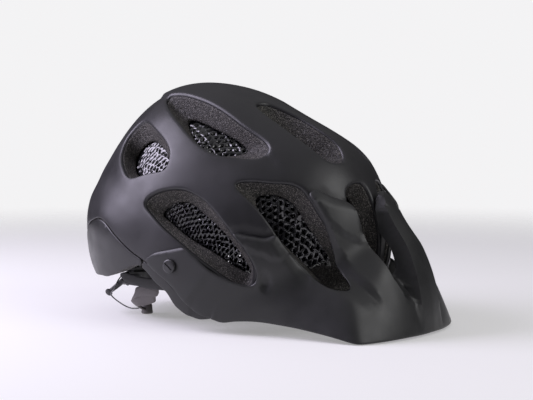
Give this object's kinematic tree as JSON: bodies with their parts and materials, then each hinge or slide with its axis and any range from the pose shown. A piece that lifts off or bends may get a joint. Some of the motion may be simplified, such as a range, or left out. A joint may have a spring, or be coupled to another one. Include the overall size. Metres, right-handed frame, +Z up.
{
  "type": "cycling helmet",
  "caption": "Vented mountain-bike helmet with a tilting peaked visor, wavy-cell crumple liner, dial-and-lace rear cradle, height strip, chin strap with cam dividers and side-release buckle.",
  "frame": {"origin": "middle of the outline's footprint at ground level, with the helmet standing as it rests on a table: on the visor's front edge and the two feet of the rear lace guides", "axes": "+Z up, wearer faces -Y, wearer's left is +X; the helmet is pitched 25 degrees nose-down about X in this resting stance"},
  "size_m": [0.2278, 0.3609, 0.2168],
  "materials": {
    "shell": "satin in-moulded skin, near black, with a faint fine grain",
    "lower_shell": "satin skin, slightly greyer than the upper shell",
    "foam": "moulded bead foam, dark grey-brown, fine beads",
    "cells": "glossy black wavy-cell liner",
    "visor": "satin injection-moulded plastic with a fine leather-like texture",
    "screw": "semi-gloss moulded plastic",
    "nut": "plated hex nut",
    "fit_plastic": "satin flexible nylon",
    "guide_plastic": "satin grey-brown nylon",
    "dial": "soft-touch rubber over a plastic dial",
    "lace": "thin braided lace",
    "padding": "brushed knit over soft foam",
    "webbing": "flat woven polyester webbing",
    "buckle": "satin acetal"
  },
  "bodies": {
    "helmet": {"outer_shell": "shell", "rear_lower_shell": "lower_shell", "side_wrap_left": "lower_shell", "side_wrap_right": "lower_shell", "foam_liner": "foam", "cell_liner": "cells", "visor_nut_right": "nut", "visor_nut_left": "nut", "headband_arm_right": "fit_plastic", "headband_arm_left": "fit_plastic", "height_rail": "fit_plastic", "brow_pad": "padding", "crown_pad_front": "padding", "crown_pad_rear": "padding", "temple_pad_right": "padding", "temple_pad_left": "padding", "side_pad_right": "padding", "side_pad_left": "padding", "strap_anchor_front_right": "fit_plastic", "strap_anchor_front_left": "fit_plastic", "strap_anchor_rear_right": "fit_plastic", "strap_anchor_rear_left": "fit_plastic", "strap_front_right": "webbing", "strap_front_left": "webbing", "strap_rear_right": "webbing", "strap_rear_left": "webbing", "strap_divider_right": "buckle", "strap_divider_left": "buckle", "chin_strap_right": "webbing", "chin_strap_left": "webbing", "strap_keeper_right": "dial", "strap_keeper_left": "dial", "chin_pad": "padding", "buckle_socket": "buckle", "buckle_plug": "buckle"},
    "visor_body": {"visor": "visor"},
    "screw_right": {"visor_screw_right": "screw"},
    "screw_left": {"visor_screw_left": "screw"},
    "height_carrier": {"height_strip": "fit_plastic"},
    "fit_cradle": {"rear_cradle": "fit_plastic", "lace_guide_right": "guide_plastic", "lace_guide_left": "guide_plastic", "dial_housing": "fit_plastic", "lace_right": "lace", "lace_left": "lace", "occipital_pad_right": "padding", "occipital_pad_left": "padding"},
    "dial": {"dial_knob": "dial"},
    "lever_right": {"divider_lever_right": "buckle"},
    "lever_left": {"divider_lever_left": "buckle"},
    "release": {"buckle_button": "buckle"}
  },
  "joints": [
    {"name": "visor_tilt", "type": "hinge", "parent": "helmet", "child": "visor_body", "pos_m": [0, 0.02107, 0.05735], "axis": [-1, 0, 0], "range_deg": [0, 15]},
    {"name": "screw_turn_right", "type": "hinge", "parent": "helmet", "child": "screw_right", "pos_m": [-0.108, 0.02107, 0.05735], "axis": [1, 0, 0], "continuous": true},
    {"name": "screw_turn_left", "type": "hinge", "parent": "helmet", "child": "screw_left", "pos_m": [0.108, 0.02107, 0.05735], "axis": [1, 0, 0], "continuous": true},
    {"name": "height_slide", "type": "slide", "parent": "helmet", "child": "height_carrier", "axis": [0, -0.0582, 0.9983], "range_m": [-0.006, 0.006]},
    {"name": "fit_slide", "type": "slide", "parent": "height_carrier", "child": "fit_cradle", "axis": [0, -0.9063, -0.4226], "range_m": [0, 0.012]},
    {"name": "dial_turn", "type": "hinge", "parent": "fit_cradle", "child": "dial", "pos_m": [0, 0.13645, 0.03944], "axis": [0, 0.9063, 0.4226], "range_deg": [0, 720]},
    {"name": "lever_flip_right", "type": "hinge", "parent": "helmet", "child": "lever_right", "pos_m": [-0.06936, 0.01173, 0.08822], "axis": [0.0349, -0.9058, -0.4224], "range_deg": [0, 80]},
    {"name": "lever_flip_left", "type": "hinge", "parent": "helmet", "child": "lever_left", "pos_m": [0.06936, 0.01173, 0.08822], "axis": [0.0349, 0.9058, 0.4224], "range_deg": [0, 80]},
    {"name": "button_press", "type": "slide", "parent": "helmet", "child": "release", "axis": [0, -0.4226, 0.9063], "range_m": [0, 0.0015], "stiffness_N_per_m": 400}
  ],
  "couplings": [
    {"joint": "dial_turn", "follows": "fit_slide", "rad_per_m": 1047.2}
  ]
}
